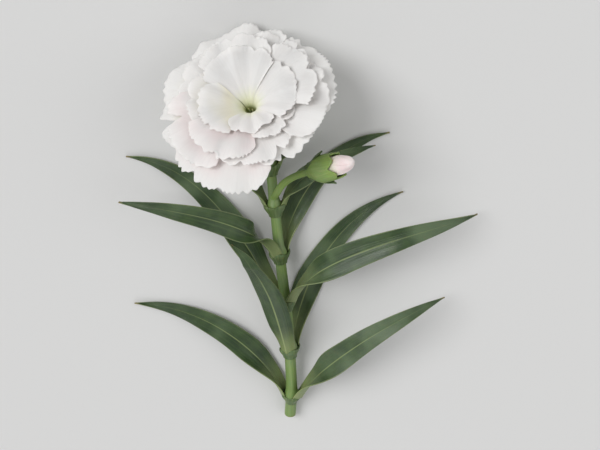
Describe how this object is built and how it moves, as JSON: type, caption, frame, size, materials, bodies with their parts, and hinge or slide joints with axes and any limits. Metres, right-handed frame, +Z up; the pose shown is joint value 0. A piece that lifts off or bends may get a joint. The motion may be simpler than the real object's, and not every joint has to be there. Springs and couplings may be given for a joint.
{
  "type": "cut carnation",
  "caption": "Cut carnation lying on its side: a ruffled white bloom in a toothed green calyx, on a slim jointed stalk with narrow leaves and a side bud.",
  "frame": {"origin": "middle of the footprint, on the surface the flower lies on", "axes": "+Y along the stalk from the cut end to the bloom, +Z up, +X to the right seen from the cut end"},
  "size_m": [0.0904, 0.111, 0.034],
  "materials": {
    "petal": "soft matt",
    "blush_petal": "soft matt",
    "leaf": "waxy",
    "stalk": "waxy",
    "calyx": "smooth",
    "pistil": "smooth",
    "stamen": "matt"
  },
  "bodies": {
    "root": {"stalk": "stalk", "bud_stalk": "stalk", "calyx": "calyx", "bud_calyx": "calyx", "bud_petals": "blush_petal", "ovary": "pistil", "style_1": "pistil", "style_2": "pistil", "stamen_1": "stamen", "stamen_2": "stamen", "stamen_3": "stamen", "bract_1": "calyx", "bract_2": "calyx", "bract_3": "calyx", "bract_4": "calyx", "bud_bract_1": "calyx", "bud_bract_2": "calyx", "leaf_1_right": "leaf", "leaf_1_left": "leaf", "leaf_2_upper": "leaf", "leaf_2_lower": "leaf", "leaf_3_right": "leaf", "leaf_3_left": "leaf", "leaf_4_upper": "leaf", "leaf_4_lower": "leaf", "leaf_5_right": "leaf", "leaf_5_left": "leaf", "leaf_6_right": "leaf", "leaf_6_left": "leaf", "petal_outer_1": "blush_petal", "petal_outer_2": "blush_petal", "petal_outer_3": "petal", "petal_outer_4": "petal", "petal_outer_5": "petal", "petal_second_1": "blush_petal", "petal_second_2": "petal", "petal_second_3": "petal", "petal_second_4": "petal", "petal_second_5": "petal", "petal_third_1": "blush_petal", "petal_third_2": "blush_petal", "petal_third_3": "petal", "petal_third_4": "petal", "petal_third_5": "petal", "petal_inner_1": "blush_petal", "petal_inner_2": "petal", "petal_inner_3": "petal", "petal_inner_4": "petal"}
  },
  "joints": []
}
